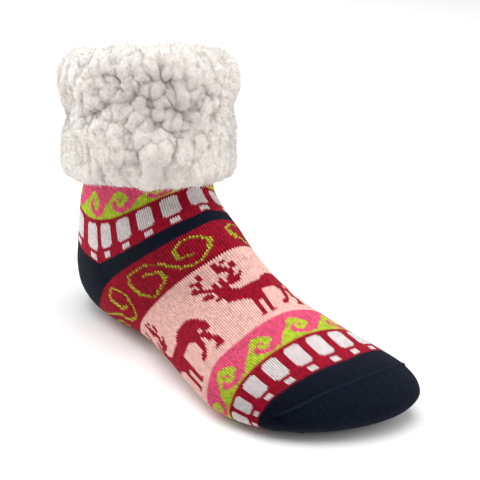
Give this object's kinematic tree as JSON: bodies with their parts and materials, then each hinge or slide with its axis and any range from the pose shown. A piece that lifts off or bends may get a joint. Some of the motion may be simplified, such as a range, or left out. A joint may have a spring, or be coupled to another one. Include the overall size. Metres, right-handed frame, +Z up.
{
  "type": "slipper sock",
  "caption": "Right-foot slipper sock: patterned jacquard knit with solid heel and toe pockets, grip dots on its sole and a thick turned-down sherpa cuff.",
  "frame": {"origin": "on the floor, under the middle of the sock's bounding box", "axes": "+X from heel to toe, +Y to the big toe's side, +Z up"},
  "size_m": [0.2766, 0.1164, 0.1888],
  "materials": {
    "knit": "fine jacquard knit in crimson, pink, pale pink, white, lime and navy, matt",
    "sherpa": "deep curly sherpa pile, cream, matt",
    "silicone": "soft printed silicone dots, satin"
  },
  "bodies": {
    "root": {"knit_sock": "knit", "sherpa_cuff": "sherpa"}
  },
  "joints": []
}
